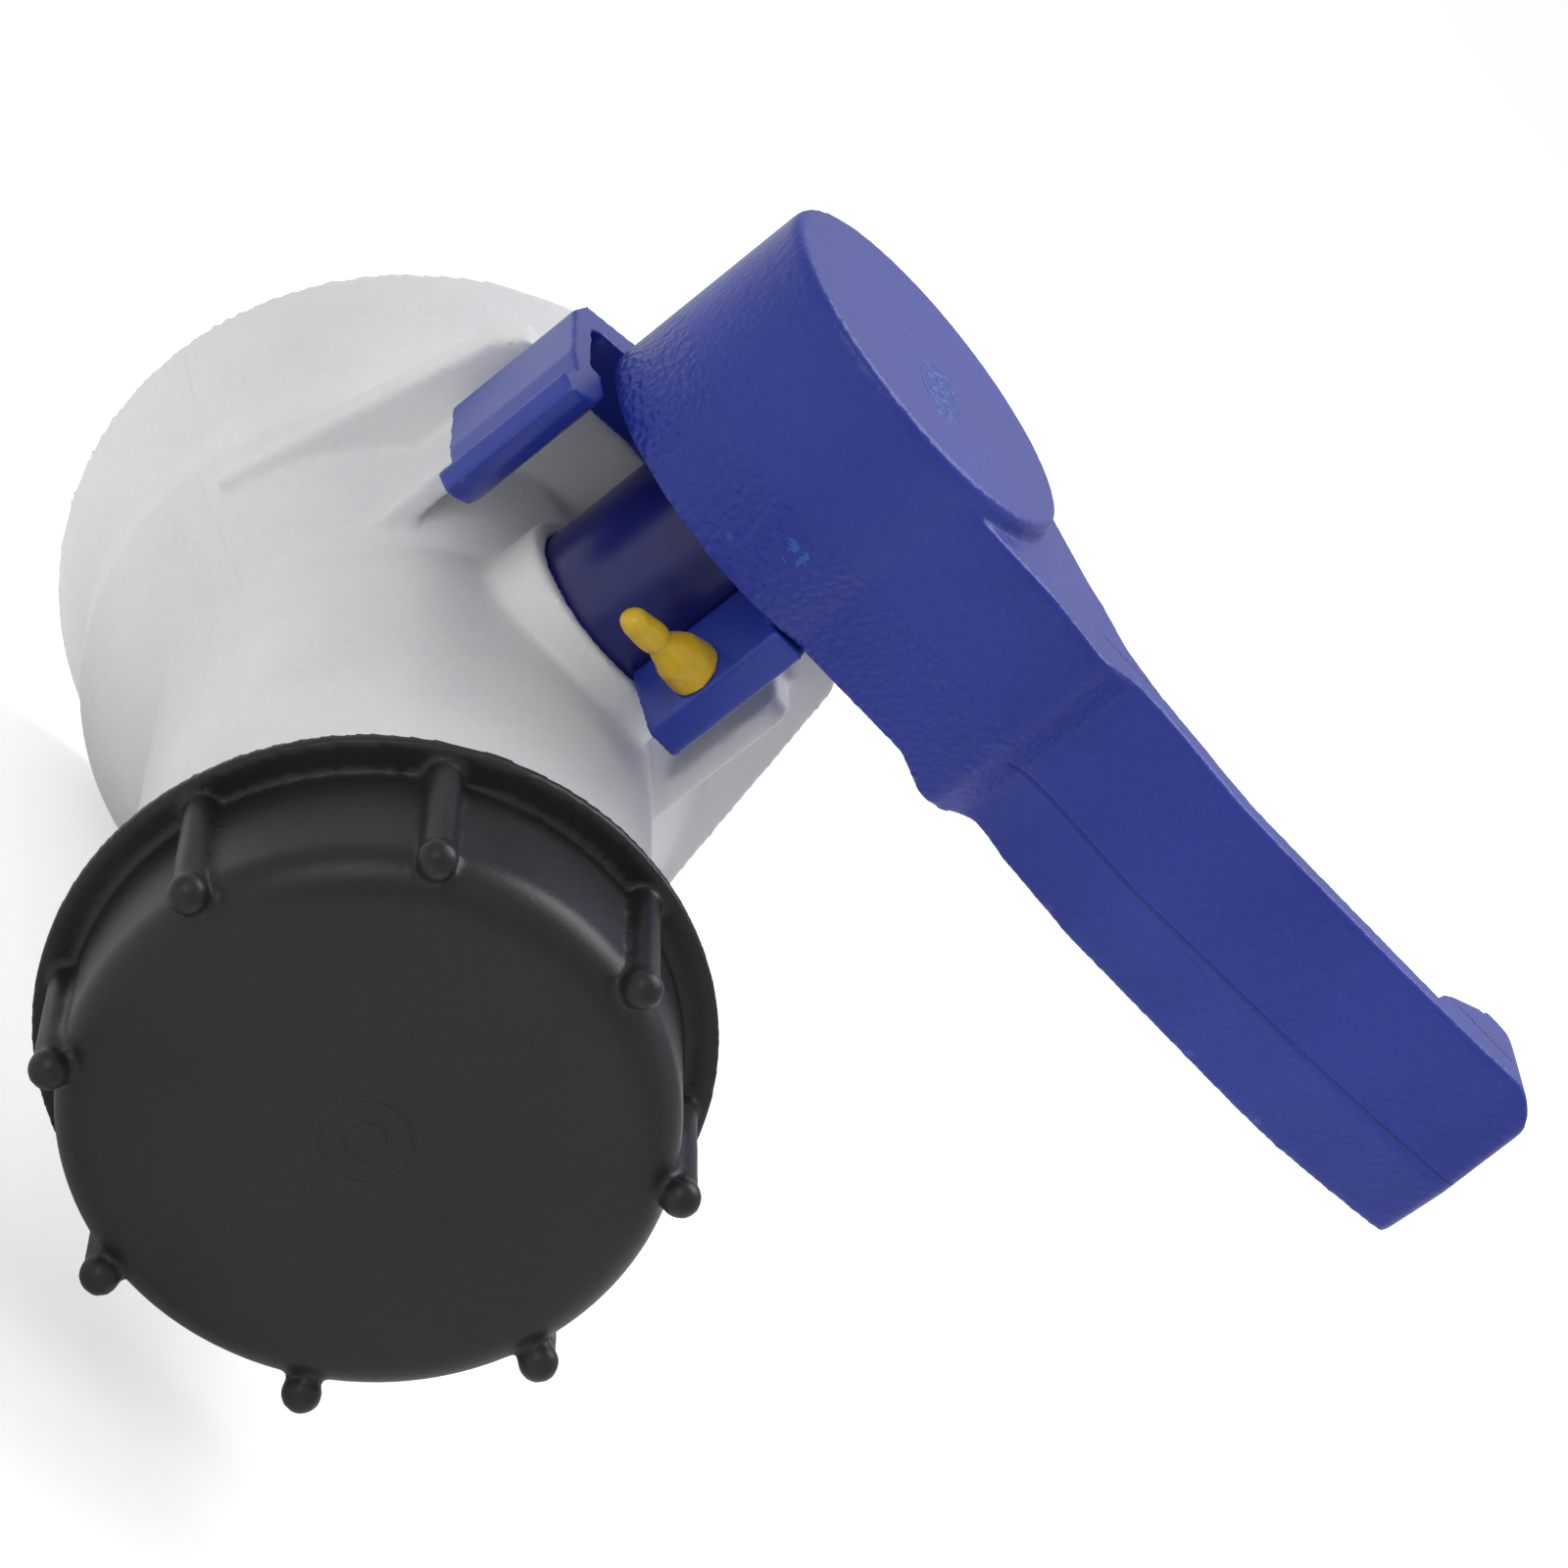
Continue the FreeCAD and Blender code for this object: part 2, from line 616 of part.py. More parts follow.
outline(over, [
    (-30, dim.lever_top + 0.4), (dim.block_length - 12, dim.lever_top + 0.4),
    (dim.block_length - 3, dim.lever_top - 0.5), (dim.block_length + 30, dim.lever_top - 0.4),
    (dim.lever_reach - 8, dim.lever_top + 0.4),
    (dim.lever_reach + 0.1, dim.lever_top - 9, 10.0, "right"), (side_reach, dim.lever_top - 9),
    (side_reach, dim.lever_top + 5), (-30, dim.lever_top + 5)])
pocket(handle, over, 60, reverse=True)

hub_disc = new_sketch(handle, "Hub", "XY_Plane", dim.hub_bottom)
circle(hub_disc, dim.hub_radius)
pad(handle, hub_disc, dim.hub_top - dim.hub_bottom)
socket = new_sketch(handle, "Socket", "XY_Plane", dim.hub_bottom)
socket_half = 0.5 * dim.stem_drive_square + dim.running_clearance
box_outline(socket, -socket_half, socket_half, -socket_half, socket_half)
pocket(handle, socket, dim.stem_drive_height + dim.axial_play, reverse=True)
round_edges(handle, "HubEdge", dim.hub_edge_radius,
            lambda edge: spans(edge, zmin=dim.hub_top, zmax=dim.hub_top))

# ---------------------------------------------------------------- lock collar
# A clip round the stem, between neck and hub: a leg with a hooked foot outside the left wall, a back
# wall over the web, and a jaw in front of the stem for the seal pin.

collar_top = dim.hub_bottom - dim.part_gap
collar_bottom = collar_top - dim.collar_height
ring_inner = dim.stem_radius + dim.part_gap
ring_outer = ring_inner + dim.collar_ring_thickness
leg_inner = dim.collar_leg_outer - dim.collar_leg_thickness
foot = dim.collar_foot_front
back = dim.collar_leg_back

blank = new_body("CollarBlank")
parts.remove(blank)
jaw_root = (2.7, -12.9)
jaw = new_sketch(blank, "Jaw", "XY_Plane", collar_bottom)
outline(jaw, [
    (dim.jaw_inner, -dim.jaw_front), (dim.jaw_inner + dim.jaw_width, -dim.jaw_front),
    (ring_outer, 0), (0, ring_outer, ring_outer, "left"), (0, 0), jaw_root])
pad(blank, jaw, dim.collar_height)
web_way = new_sketch(blank, "WebWay", "XY_Plane", collar_bottom)
ring_at_web = dim.web_front - dim.part_gap
outline(web_way, [
    (0, ring_at_web), (ring_at_web, 0, ring_at_web, "right"), (2 * ring_outer, 0),
    (2 * ring_outer, 2 * ring_outer), (0, 2 * ring_outer)])
lift = dim.web_top + dim.collar_back_lift - collar_bottom
pocket(blank, web_way, lift, reverse=True)
back_wall = new_sketch(blank, "BackWall", "XY_Plane", collar_bottom + lift)
outline(back_wall, [
    (-(leg_inner + 1.6), back - 3.2), (-leg_inner, back - 5.5), (-(leg_inner - 1.3), back - 3.9),
    (-11, back - 0.3), (0, back - 2.7), (0, ring_outer), (-8, back + 5.3), (-19.1, back + 3.2),
    (-(leg_inner + 1), back)])
pad(blank, back_wall, dim.collar_height - lift)
leg = new_sketch(blank, "Leg", "XY_Plane", collar_bottom)
outer = dim.collar_leg_outer
outline(leg, [
    (-(leg_inner + 1), back), (-outer, back - 4.3), (-outer, -(foot - 11.4)),
    (-(outer - 0.8), -(foot - 6.9)), (-(outer + 1.4), -(foot - 2.6)), (-outer, -foot),
    (-(outer - 2.1), -(foot - 1)), (-(outer - 3.8), -(foot - 2.5)), (-(outer - 5.4), -(foot - 6.5)),
    (-(outer - 4.9), -(foot - 11)), (-leg_inner, -(foot - 11.4)), (-leg_inner, back)])
pad(blank, leg, dim.collar_height)
stem_way = new_sketch(blank, "StemWay", "XY_Plane", collar_bottom)
circle(stem_way, ring_inner)
pocket(blank, stem_way, dim.collar_height, reverse=True)

# The seal pin stands square on the jaw's leaning inner face, and its shank fills the jaw's hole.
lean_run = dim.jaw_inner - jaw_root[0]
lean_rise = dim.jaw_front + jaw_root[1]
lean = FreeCAD.Vector(lean_rise.number, lean_run.number, 0)
lean_angle = lean.getAngle(FreeCAD.Vector(1, 0, 0)) * 180 / 3.141592653589793
share = (dim.jaw_front.number - dim.seal_setback.number) / lean_rise.number
seal_x = dim.jaw_inner - share * lean_run
seat_point = {"x": seal_x, "y": -(dim.stem_setback + dim.seal_setback), "z": dim.seal_height}
pin_turn = ((0, 0, 1), 180 + lean_angle)
pin_way = doc.addObject("Part::Cylinder", "PinWay")
bind(pin_way, Radius=dim.seal_shank_radius + dim.running_clearance, Height=4 * dim.jaw_width)
place(pin_way, **seat_point)
along_pin = FreeCAD.Rotation(FreeCAD.Vector(0, 0, 1), FreeCAD.Vector(lean.x, lean.y, 0))
pin_way.Placement.Rotation = along_pin
collar = doc.addObject("Part::Cut", "lock_collar")
collar.Base, collar.Tool = blank, pin_way
keep(collar, "lock_collar")

seal = new_body("seal_pin", on_stem_axis=False)
place(seal, **seat_point, turn=pin_turn)
seal_shape = new_sketch(seal, "Seal", "XY_Plane")
tip = dim.seal_tip_radius
outline(seal_shape, [
    (-dim.jaw_width, 0), (dim.seal_length, 0), (dim.seal_length - tip, tip, tip, "left"),
    (0.6 * dim.seal_length, tip), (0.5 * dim.seal_length, dim.seal_waist_radius),
    (0.28 * dim.seal_length, dim.seal_base_radius - 0.5), (0.02, dim.seal_base_radius),
    (0.02, dim.seal_shank_radius), (-dim.jaw_width, dim.seal_shank_radius)])
turned(seal, seal_shape, axis="H_Axis")

# ---------------------------------------------------------------- outlet cap and its gasket

cap = new_body("outlet_cap", on_stem_axis=False)
place(cap, turn=((0, 1, 0), -dim.grip_phase.number))
cap_shell = new_sketch(cap, "CapShell", "XY_Plane")
flange_front = dim.cap_back + dim.flange_thickness
cap_floor = dim.cap_front - dim.cap_face_thickness
outline(cap_shell, [
    (0, -dim.cap_front), (dim.cap_radius, -dim.cap_front), (dim.cap_radius, -flange_front),
    (dim.flange_radius, -flange_front), (dim.flange_radius, -dim.cap_back),
    (dim.cap_inner_radius, -dim.cap_back), (dim.cap_inner_radius, -cap_floor), (0, -cap_floor)])
turned(cap, cap_shell)
round_edges(cap, "FaceEdge", dim.cap_face_edge_radius,
            lambda edge: spans(edge, ymin=-dim.cap_front, ymax=-dim.cap_front))
grip = new_sketch(cap, "Grip", "XZ_Plane", flange_front - 0.5)
circle(grip, dim.grip_radius, x=dim.grip_centre)
knob_place = dim.cap_front - dim.grip_knob_setback
bar = pad(cap, grip, knob_place - (flange_front - 0.5))
knob = cap.newObject("PartDesign::AdditiveSphere", "Knob")
knob.AttachmentSupport = [(item, "") for item in cap.Origin.OriginFeatures if item.Role == "XY_Plane"]
knob.MapMode = "FlatFace"
bind(knob, Radius=dim.grip_knob_radius)
knob.setExpression("AttachmentOffset.Base.x", dim.grip_centre.text)
knob.setExpression("AttachmentOffset.Base.y", (-knob_place).text)
doc.recompute()
grips = cap.newObject("PartDesign::PolarPattern", "Grips")
grips.Originals = [bar, knob]
grips.Axis = ([item for item in cap.Origin.OriginFeatures if item.Role == "Y_Axis"][0], [""])
grips.Angle = 360
grips.Occurrences = 8
cap.Tip = grips

ring("cap_gasket", dim.bore_radius, dim.cap_inner_radius - dim.seat_clearance,
     dim.cap_gasket_thickness, y=-dim.outlet_end, turn=along_flow)

# ---------------------------------------------------------------- check and write

doc.recompute()
for obj in doc.Objects:
    if "Invalid" in obj.State or "Error" in obj.State:
        raise RuntimeError(f"{obj.Name} failed: {obj.State}")
for feature in cuts:
    if feature.Shape.Volume > feature.BaseFeature.Shape.Volume - 0.01:
        raise RuntimeError(f"{feature.Name} removes nothing")
for piece in parts:
    shape = piece.Shape
    if shape.isNull() or not shape.isValid():
        raise RuntimeError(f"{piece.Label} has no valid shape")
    shape.exportStep(f"parts/{piece.Label}.step")
    print(f"{piece.Label}: {len(shape.Solids)} solid, {shape.Volume:.0f} mm3")
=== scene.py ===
import math

import bmesh
import bpy
from mathutils import Euler, Matrix, Vector, noise


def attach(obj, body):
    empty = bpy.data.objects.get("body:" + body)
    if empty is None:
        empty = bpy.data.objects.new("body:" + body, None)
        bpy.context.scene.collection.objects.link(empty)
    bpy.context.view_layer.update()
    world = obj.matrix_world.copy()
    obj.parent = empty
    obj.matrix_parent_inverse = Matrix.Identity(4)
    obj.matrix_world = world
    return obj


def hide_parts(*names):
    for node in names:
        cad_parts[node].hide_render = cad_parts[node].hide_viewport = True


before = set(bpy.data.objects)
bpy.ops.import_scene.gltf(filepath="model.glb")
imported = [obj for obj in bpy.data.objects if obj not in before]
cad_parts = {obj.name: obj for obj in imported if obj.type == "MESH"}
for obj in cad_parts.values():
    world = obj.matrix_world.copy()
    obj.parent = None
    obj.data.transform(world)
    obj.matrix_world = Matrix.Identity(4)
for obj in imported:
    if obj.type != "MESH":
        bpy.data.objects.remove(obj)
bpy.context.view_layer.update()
scene = bpy.context.scene

# ---------------------------------------------------------------- valve body
# The outlet body is one injection moulding in natural polypropylene, slightly see-through at thin
# edges, with a fine matt skin, soft moulded corners and a flat mould seam down its left side.


def node(tree, kind, inputs=None, **settings):
    """A shader node with its settings, and inputs that are values or other nodes' sockets."""
    made = tree.nodes.new(kind)
    for key, value in settings.items():
        setattr(made, key, value)
    for key, value in (inputs or {}).items():
        if isinstance(value, bpy.types.NodeSocket):
            tree.links.new(value, made.inputs[key])
        else:
            made.inputs[key].default_value = value
    return made


def maths(tree, operation, first, second=0.0, third=0.0):
    return node(tree, "ShaderNodeMath", {0: first, 1: second, 2: third}, operation=operation).outputs[0]


def moulded_plastic(name, colour, tint, rough, grain=0.00035, depth=0.12, through=0.0, edge_highlight_and_scratch=0.25):
    """Moulded plastic: slow colour drift, a fine grained skin, flow marks, faint scratches, and convex
    edges painted lighter as a painted edge highlight.
    """
    surface = bpy.data.materials.new(name)
    surface.use_nodes = True
    tree = surface.node_tree
    shader = tree.nodes["Principled BSDF"]
    where = node(tree, "ShaderNodeTexCoord").outputs["Object"]
    drift = node(tree, "ShaderNodeTexNoise", {"Vector": where, "Scale": 38.0, "Detail": 3.0}).outputs[0]
    speck = node(tree, "ShaderNodeTexNoise", {"Vector": where, "Scale": 900.0, "Detail": 2.0}).outputs[0]
    skin = node(tree, "ShaderNodeTexNoise",
                {"Vector": where, "Scale": 1.0 / grain, "Detail": 3.0, "Roughness": 0.6}).outputs[0]
    stretched = node(tree, "ShaderNodeMapping", {"Vector": where, "Rotation": (0.4, 0.2, 0.9),
                                                 "Scale": (90.0, 2600.0, 900.0)}).outputs[0]
    scratch = node(tree, "ShaderNodeTexNoise",
                   {"Vector": stretched, "Scale": 1.0, "Detail": 1.0}).outputs[0]
    scratch = node(tree, "ShaderNodeMapRange",
                   {"Value": scratch, "From Min": 0.70, "From Max": 0.76}).outputs[0]
    share = maths(tree, "MULTIPLY_ADD", speck, 0.25, maths(tree, "MULTIPLY", drift, 0.75))
    share = node(tree, "ShaderNodeMapRange",
                 {"Value": share, "From Min": 0.35, "From Max": 0.65}).outputs[0]
    mixed = node(tree, "ShaderNodeMix", {0: share, 6: (*colour, 1), 7: (*tint, 1)}, data_type="RGBA")
    # Painted highlight: sharp convex edges (high pointiness) get a lighter, paler colour; the same
    # strength also sets the scratch bump depth.
    edge = node(tree, "ShaderNodeNewGeometry").outputs["Pointiness"]
    edge = node(tree, "ShaderNodeMapRange", {"Value": edge, "From Min": 0.53, "From Max": 0.60,
                                             "To Max": edge_highlight_and_scratch}).outputs[0]
    edge_highlight_colour = node(tree, "ShaderNodeHueSaturation", {"Value": 1.35, "Saturation": 0.85,
                                                  "Color": mixed.outputs[2]}).outputs[0]
    edge = maths(tree, "MULTIPLY", edge, maths(tree, "ADD", drift, 0.3))
    final = node(tree, "ShaderNodeMix", {0: edge, 6: mixed.outputs[2], 7: edge_highlight_colour},
                 data_type="RGBA").outputs[2]
    tree.links.new(final, shader.inputs["Base Color"])
    sheen = maths(tree, "MULTIPLY_ADD", drift, 0.16, rough - 0.08)
    tree.links.new(maths(tree, "MULTIPLY_ADD", scratch, 0.12, sheen), shader.inputs["Roughness"])
    height = maths(tree, "MULTIPLY_ADD", skin, 0.7, maths(tree, "MULTIPLY", scratch, -0.6 * edge_highlight_and_scratch))
    height = maths(tree, "MULTIPLY_ADD", drift, 1.6, height)
    bump = node(tree, "ShaderNodeBump", {"Strength": depth * 4, "Distance": 0.00009, "Height": height})
    tree.links.new(bump.outputs[0], shader.inputs["Normal"])
    shader.inputs["IOR"].default_value = 1.5
    if through:
        shader.inputs["Subsurface Weight"].default_value = through
        shader.inputs["Subsurface Radius"].default_value = (0.004, 0.0035, 0.003)
    return surface, tree, shader, height, bump, where, final


def finish(piece, surface):
    """Give a piece its material."""
    piece.data.materials.clear()
    piece.data.materials.append(surface)


def moulded(name, source, cell, rounds):
    """A moulding with soft corners: the solid's shape, remeshed fine at a slant, and smoothed."""
    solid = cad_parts[source]
    piece = bpy.data.objects.new(name, solid.data.copy())
    scene.collection.objects.link(piece)
    aslant = Euler((0.55, 0.42, 0.33)).to_matrix().to_4x4()
    piece.data.transform(aslant @ solid.matrix_world)
    remesh = piece.modifiers.new("Remesh", "REMESH")
    remesh.mode, remesh.voxel_size = "VOXEL", cell
    soft = piece.modifiers.new("Soften", "SMOOTH")
    soft.factor, soft.iterations = 0.5, rounds
    seen = piece.evaluated_get(bpy.context.evaluated_depsgraph_get())
    shape = bpy.data.meshes.new_from_object(seen)
    piece.modifiers.clear()
    shape.transform(aslant.inverted())
    piece.data = shape
    shape.shade_smooth()
    return piece


def thread(name, root, crest, start, end, foot, top, phase=0.0, pitch=0.006):
    """A right-hand thread ridge round the Y axis, from start to end, fading out at both ends."""
    steps = int((start - end) / pitch * 72)
    mesh = bmesh.new()
    rings = []
    for step in range(steps + 1):
        share = step / steps
        turn = share * (start - end) / pitch * math.tau + phase
        rise = min(1.0, share * steps / 22, (1 - share) * steps / 22)
        sunk = root + (root - crest) * 0.15
        tall = sunk + (crest - sunk) * rise
        middle = start + (end - start) * share
        ring = []
        for radius, along in ((sunk, -foot / 2), (tall, -top / 2 * rise - 0.0001),
                              (tall, top / 2 * rise + 0.0001), (sunk, foot / 2)):
            ring.append(mesh.verts.new((radius * math.cos(turn), middle + along, radius * math.sin(turn))))
        rings.append(ring)
    for one, two in zip(rings, rings[1:]):
        for side in range(4):
            mesh.faces.new((one[side], one[(side + 1) % 4], two[(side + 1) % 4], two[side]))
    mesh.faces.new(rings[0][::-1])
    mesh.faces.new(rings[-1])
    bmesh.ops.recalc_face_normals(mesh, faces=mesh.faces)
    bmesh.ops.bevel(mesh, geom=[edge for edge in mesh.edges if edge.calc_face_angle(0) > 0.5],
                    offset=0.00025, segments=2, affect="EDGES", clamp_overlap=True)
    data = bpy.data.meshes.new(name)
    mesh.to_mesh(data)
    mesh.free()
    data.shade_smooth()
    piece = bpy.data.objects.new(name, data)
    scene.collection.objects.link(piece)
    return piece


natural, tree, shader, height, bump, where, _ = moulded_plastic(
    "NaturalPolypropylene", (0.80, 0.795, 0.775), (0.70, 0.715, 0.73), 0.42, grain=0.0006, depth=0.05,
    through=0.12, edge_highlight_and_scratch=0.1)
axes = node(tree, "ShaderNodeSeparateXYZ", {"Vector": where}).outputs
seam_half_width = 0.0025
seam_edge = 0.0002
left = maths(tree, "LESS_THAN", axes[0], -0.02)
band = node(tree, "ShaderNodeMapRange", {"Value": maths(tree, "ABSOLUTE", axes[2]),
                                         "From Min": seam_half_width - seam_edge,
                                         "From Max": seam_half_width + seam_edge,
                                         "To Min": 5.0, "To Max": 0.0}).outputs[0]
seam = maths(tree, "MULTIPLY", band, left)
tree.links.new(maths(tree, "ADD", height, seam), bump.inputs["Height"])

body = moulded("valve_body_moulding", "valve_body", 0.0006, 6)
finish(body, natural)
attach(body, "valve")
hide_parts("valve_body")

outlet_thread = thread("outlet_thread_ridge", 0.0273, 0.0297, -0.1072, -0.1212, 0.0030, 0.0012)
inlet_thread = thread("inlet_thread_ridge", 0.0374, 0.0354, -0.0022, -0.0150, 0.0032, 0.0012)
for piece in (outlet_thread, inlet_thread):
    finish(piece, natural)
    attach(piece, "valve")

# ---------------------------------------------------------------- handle
# Hub and lever are one moulding in blue polypropylene with a fine leathery skin, a mould seam along
# the lever, a coarser panel on the block under the hub, a bump-textured patch on the hub top painted
# lighter as a painted sheen, and a small lighter, bump-textured patch on the hub front.


def ellipse(tree, across, up, centre, size, soft=0.15):
    """1 inside an ellipse given in two coordinates, fading to 0 at its edge."""
    first = maths(tree, "DIVIDE", maths(tree, "SUBTRACT", across, centre[0]), size[0])
    second = maths(tree, "DIVIDE", maths(tree, "SUBTRACT", up, centre[1]), size[1])
    far = maths(tree, "ADD", maths(tree, "POWER", first, 2.0), maths(tree, "POWER", second, 2.0))
    return node(tree, "ShaderNodeMapRange", {"Value": far, "From Min": 1.0 - soft, "From Max": 1.0,
                                             "To Min": 1.0, "To Max": 0.0}).outputs[0]


blue, tree, shader, height, bump, where, colour = moulded_plastic(
    "BluePolypropylene", (0.012, 0.028, 0.27), (0.020, 0.040, 0.34), 0.36, grain=0.00042, depth=0.22,
    edge_highlight_and_scratch=0.5)
axes = node(tree, "ShaderNodeSeparateXYZ", {"Vector": where}).outputs
line_slope = 0.036
line_level = 0.0609
line_start = 0.0365
line = maths(tree, "MULTIPLY_ADD", axes[0], line_slope, line_level)
away = maths(tree, "ABSOLUTE", maths(tree, "SUBTRACT", axes[2], line))
seam = node(tree, "ShaderNodeMapRange", {"Value": away, "From Min": 0.00008, "From Max": 0.00022,
                                         "To Min": 4.0, "To Max": 0.0}).outputs[0]
seam = maths(tree, "MULTIPLY", seam, maths(tree, "GREATER_THAN", axes[0], line_start))
leather = node(tree, "ShaderNodeTexVoronoi", {"Vector": where, "Scale": 1150.0},
               feature="SMOOTH_F1").outputs[0]
panel_top = 0.0655
panel_side = 0.0225
panel_lean = -0.2
across = maths(tree, "ADD", axes[0], maths(tree, "MULTIPLY", axes[2], panel_lean))
panel = maths(tree, "MULTIPLY", maths(tree, "LESS_THAN", axes[2], panel_top),
              maths(tree, "LESS_THAN", across, panel_side))
# Painted sheen: a lighter, bump-textured patch on the hub top; the second ellipse is a small lighter patch
# on the hub front.
hub_top_sheen = ellipse(tree, axes[0], axes[1], (0.0015, -0.0530), (0.0036, 0.0072))
hub_top_sheen = maths(tree, "MULTIPLY", hub_top_sheen, maths(tree, "GREATER_THAN", axes[2], 0.0815))
small = ellipse(tree, axes[0], axes[2], (-0.0010, 0.0620), (0.0022, 0.0016))
small = maths(tree, "MULTIPLY", small, maths(tree, "LESS_THAN", axes[1], -0.068))
broken = node(tree, "ShaderNodeTexNoise", {"Vector": where, "Scale": 850.0, "Detail": 4.0}).outputs[0]
broken = node(tree, "ShaderNodeMapRange", {"Value": broken, "From Min": 0.46, "From Max": 0.54}).outputs[0]
patch = maths(tree, "MULTIPLY", maths(tree, "MAXIMUM", hub_top_sheen, small), broken)
lighter = node(tree, "ShaderNodeMix", {0: maths(tree, "MULTIPLY", patch, 0.8), 6: colour,
                                       7: (0.025, 0.11, 0.50, 1)}, data_type="RGBA").outputs[2]
tree.links.new(lighter, shader.inputs["Base Color"])
rise = maths(tree, "MULTIPLY_ADD", leather, maths(tree, "MULTIPLY_ADD", panel, 2.4, 1.1), height)
rise = maths(tree, "ADD", rise, maths(tree, "MULTIPLY_ADD", patch, 2.5, seam))
tree.links.new(rise, bump.inputs["Height"])
shader.inputs["Specular IOR Level"].default_value = 0.42

handle = moulded("handle_moulding", "handle", 0.00042, 16)
seam_height = 0.0635
stem_y = -0.0484
draft = 0.07
draft_start = 0.024
draft_run = 0.008
for vertex in handle.data.vertices:
    spot = vertex.co
    if spot.x > draft_start and spot.y < stem_y - 0.014:
        reach = min(1.0, (spot.x - draft_start) / draft_run)
        spot.y += reach * (draft * abs(spot.z - seam_height) - 0.0005)
finish(handle, blue)
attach(handle, "shutoff")
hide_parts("handle")

# ---------------------------------------------------------------- stem and lock collar
# The stem is moulded in blue plastic and pressed into the hub; its colour is painted dark navy, much
# darker than the other blues, as painted shade from the hub above it. The collar is a clip in blue
# polypropylene, pushed round the stem. Both are smoother than the handle.

# Painted shade: the stem blue is painted far darker than the collar and handle blues for the shadow under
# the hub.
stem_blue_painted_shade = moulded_plastic("StemBluePaintedShade", (0.008, 0.010, 0.11), (0.012, 0.016, 0.15), 0.30, grain=0.0008,
                            depth=0.04, edge_highlight_and_scratch=0.3)[0]
collar_blue = moulded_plastic("CollarBlue", (0.012, 0.030, 0.28), (0.018, 0.042, 0.33), 0.34,
                              grain=0.0005, depth=0.08, edge_highlight_and_scratch=0.5)[0]

stem = moulded("stem_turned", "stem", 0.0004, 3)
finish(stem, stem_blue_painted_shade)
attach(stem, "shutoff")
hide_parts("stem")
collar = moulded("lock_collar_moulding", "lock_collar", 0.00035, 5)
finish(collar, collar_blue)
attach(collar, "collar")
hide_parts("lock_collar")

# ---------------------------------------------------------------- seal pin
# The tamper seal is a soft yellow polyethylene pin, hand-trimmed: lumpy and glossy.

yellow = moulded_plastic("SealYellow", (0.72, 0.50, 0.02), (0.60, 0.36, 0.01), 0.22, grain=0.0004,
                         depth=0.05, through=0.2)[0]
lump_height = 0.00028
lumps_per_metre = 420
pin = moulded("seal_pin_moulding", "seal_pin", 0.0002, 6)
for vertex in pin.data.vertices:
    vertex.co += vertex.normal * lump_height * noise.noise(vertex.co * lumps_per_metre)
finish(pin, yellow)
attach(pin, "seal")
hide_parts("seal_pin")

# ---------------------------------------------------------------- outlet cap
# The screw cap is moulded in black high-density polyethylene, with eight grip ribs, a thin flange, a
# rounded face edge, and a plain dial with a pointer moulded in the middle of the face.

black, tree, shader, height, bump, where, _ = moulded_plastic(
    "CapBlack", (0.011, 0.011, 0.012), (0.018, 0.018, 0.020), 0.40, grain=0.0005, depth=0.10, edge_highlight_and_scratch=0.35)
shader.inputs["Specular IOR Level"].default_value = 0.35
cap = moulded("outlet_cap_moulding", "outlet_cap", 0.0005, 5)
finish(cap, black)
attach(cap, "cap")
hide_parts("outlet_cap")
cap_thread = thread("cap_thread_ridge", 0.0304, 0.0282, -0.1085, -0.1195, 0.0030, 0.0012,
                    phase=math.tau * (0.1085 - 0.1072 + 0.003) / 0.006)
finish(cap_thread, black)
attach(cap_thread, "cap")


axes = node(tree, "ShaderNodeSeparateXYZ", {"Vector": where}).outputs
radius = maths(tree, "SQRT", maths(tree, "ADD", maths(tree, "POWER", axes[0], 2.0),
                                  maths(tree, "POWER", axes[2], 2.0)))
dial_radii = (0.0050, 0.0024)
pointer_half_width = 0.00025
pointer_half_length = 0.0019
rings = []
for groove in dial_radii:
    away = maths(tree, "ABSOLUTE", maths(tree, "SUBTRACT", radius, groove))
    rings.append(node(tree, "ShaderNodeMapRange", {"Value": away, "From Min": 0.00012, "From Max": 0.00030,
                                                   "To Min": 1.0, "To Max": 0.0}).outputs[0])
pointer = maths(
    tree, "MULTIPLY", maths(tree, "LESS_THAN", maths(tree, "ABSOLUTE", axes[0]), pointer_half_width),
    maths(tree, "LESS_THAN", maths(tree, "ABSOLUTE", axes[2]), pointer_half_length))
dial = maths(tree, "MAXIMUM", maths(tree, "MAXIMUM", rings[0], rings[1]), pointer)
dial = maths(tree, "MULTIPLY", dial, maths(tree, "LESS_THAN", axes[1], -0.1265))
tree.links.new(maths(tree, "MULTIPLY_ADD", dial, -6.0, height), bump.inputs["Height"])

# ---------------------------------------------------------------- inner parts and seals
# The disc, liner, washer and bush are natural and white plastics, the rings and gaskets black
# rubber, and the cross pin is stainless steel.

natural_disc = moulded_plastic("DiscNatural", (0.74, 0.735, 0.70), (0.66, 0.67, 0.67), 0.45,
                               grain=0.0006, depth=0.06, through=0.1, edge_highlight_and_scratch=0.1)[0]
bearing = moulded_plastic("BearingWhite", (0.82, 0.82, 0.80), (0.76, 0.77, 0.76), 0.35, grain=0.0005,
                          depth=0.04, edge_highlight_and_scratch=0.1)[0]
rubber = moulded_plastic("SealRubber", (0.014, 0.014, 0.014), (0.022, 0.021, 0.020), 0.62,
                         grain=0.0003, depth=0.12, edge_highlight_and_scratch=0.3)[0]
steel, tree, shader, _, _, _, _ = moulded_plastic("PinSteel", (0.56, 0.55, 0.53), (0.62, 0.61, 0.60),
                                                  0.28, grain=0.0004, depth=0.05)
shader.inputs["Metallic"].default_value = 1.0

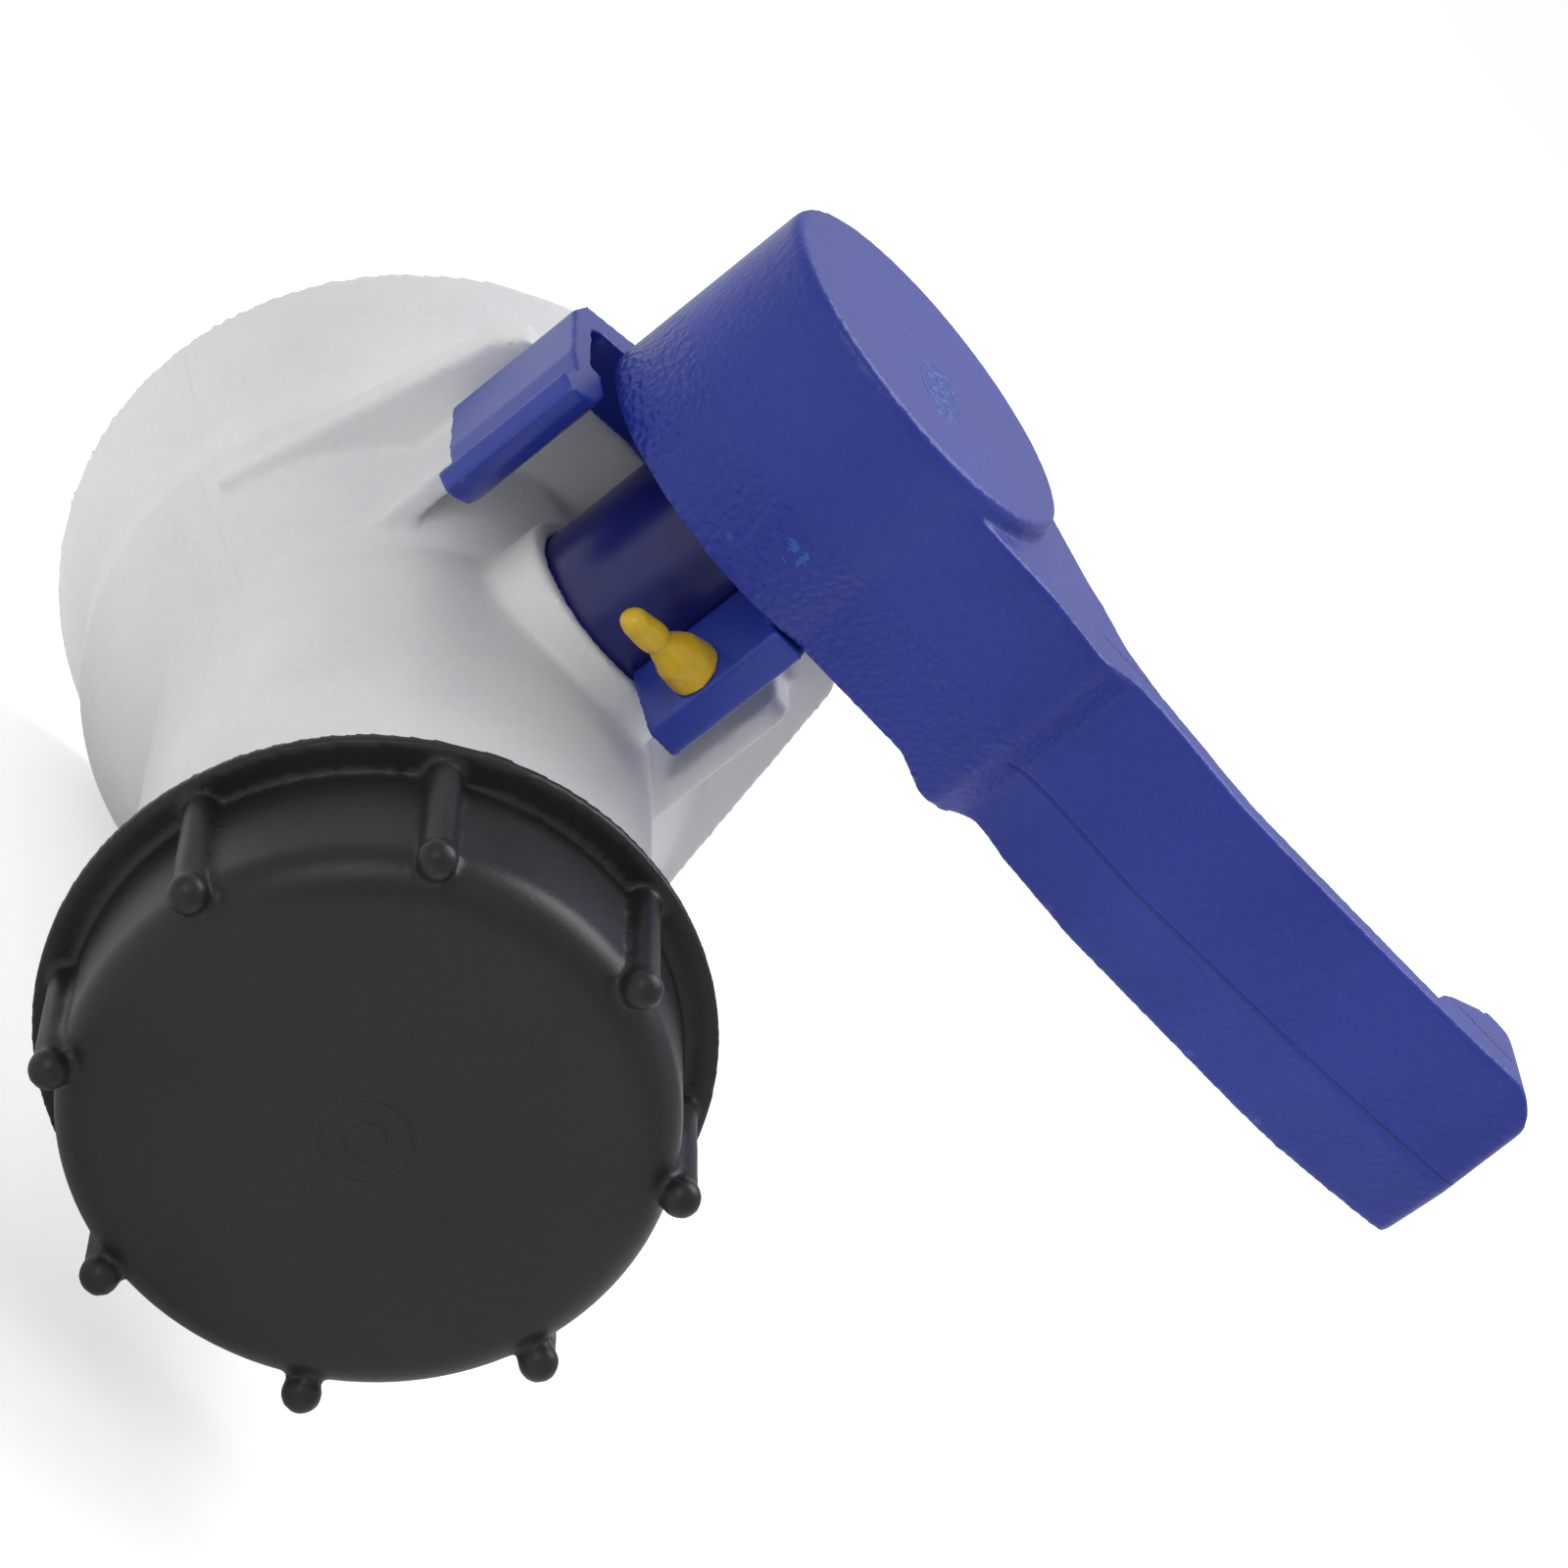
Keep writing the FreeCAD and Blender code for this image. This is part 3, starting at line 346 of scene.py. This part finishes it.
inner = {"butterfly_disc": natural_disc, "seat_liner": bearing, "thrust_washer": bearing,
         "lower_bush": bearing, "lower_plug": natural, "stem_o_ring_upper": rubber,
         "stem_o_ring_lower": rubber, "inlet_gasket": rubber, "cap_gasket": rubber, "disc_pin": steel}
for name, surface in inner.items():
    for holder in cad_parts[name].material_slots:
        holder.material = surface

# ---------------------------------------------------------------- floor, light and camera
# A plain pale floor under a soft white studio sky, and two large lamps.

bpy.ops.mesh.primitive_plane_add(size=8, location=(0, 0, -0.0465))
floor = bpy.context.object
floor.name = "floor"
pale = bpy.data.materials.new("PaleFloor")
pale.use_nodes = True
shader = pale.node_tree.nodes["Principled BSDF"]
shader.inputs["Base Color"].default_value = (0.9, 0.9, 0.9, 1)
shader.inputs["Roughness"].default_value = 0.95
shader.inputs["Specular IOR Level"].default_value = 0.0
shader.inputs["Emission Color"].default_value = (1, 1, 1, 1)
floor_glow = 0.45
seen = node(pale.node_tree, "ShaderNodeLightPath").outputs["Is Camera Ray"]
pale.node_tree.links.new(
    maths(pale.node_tree, "MULTIPLY", seen, floor_glow), shader.inputs["Emission Strength"])
floor.data.materials.append(pale)

world = bpy.data.worlds.new("Studio")
scene.world = world
world.use_nodes = True
sky = world.node_tree.nodes["Background"]
sky.inputs[0].default_value = (1, 1, 1, 1)
sky_light = 0.58
sky_seen = 0.5
seen = node(world.node_tree, "ShaderNodeLightPath").outputs["Is Camera Ray"]
world.node_tree.links.new(
    maths(world.node_tree, "MULTIPLY_ADD", seen, sky_seen, sky_light), sky.inputs[1])


def lamp(name, place, aim, size, power):
    """A square area lamp at a place, facing its aim."""
    light = bpy.data.lights.new(name, "AREA")
    light.size, light.energy = size, power
    holder = bpy.data.objects.new(name, light)
    holder.location = place
    holder.rotation_euler = (Vector(aim) - Vector(place)).to_track_quat("-Z", "Y").to_euler()
    scene.collection.objects.link(holder)


lamp("TopLamp", (0.25, 0.35, 0.9), (0.02, -0.06, 0.03), 0.7, 6.0)
lamp("FrontLamp", (-0.7, -0.6, 0.5), (0.02, -0.06, 0.03), 0.5, 1.6)

right = Vector((0.652, -0.020, 0.758)).normalized()
back = Vector((-0.370, -0.881, 0.296))
back = (back - right * back.dot(right)).normalized()
up = back.cross(right)
lens = bpy.data.cameras.new("Camera")
lens.lens, lens.sensor_width = 119.5, 36
lens.clip_start, lens.clip_end = 0.02, 20
camera = bpy.data.objects.new("Camera", lens)
camera_place = (-0.2001, -0.5959, 0.2180)
turn = Matrix((right, up, back)).transposed().to_4x4()
camera.matrix_world = Matrix.Translation(camera_place) @ turn
scene.collection.objects.link(camera)
scene.camera = camera
scene.view_settings.view_transform = "Standard"
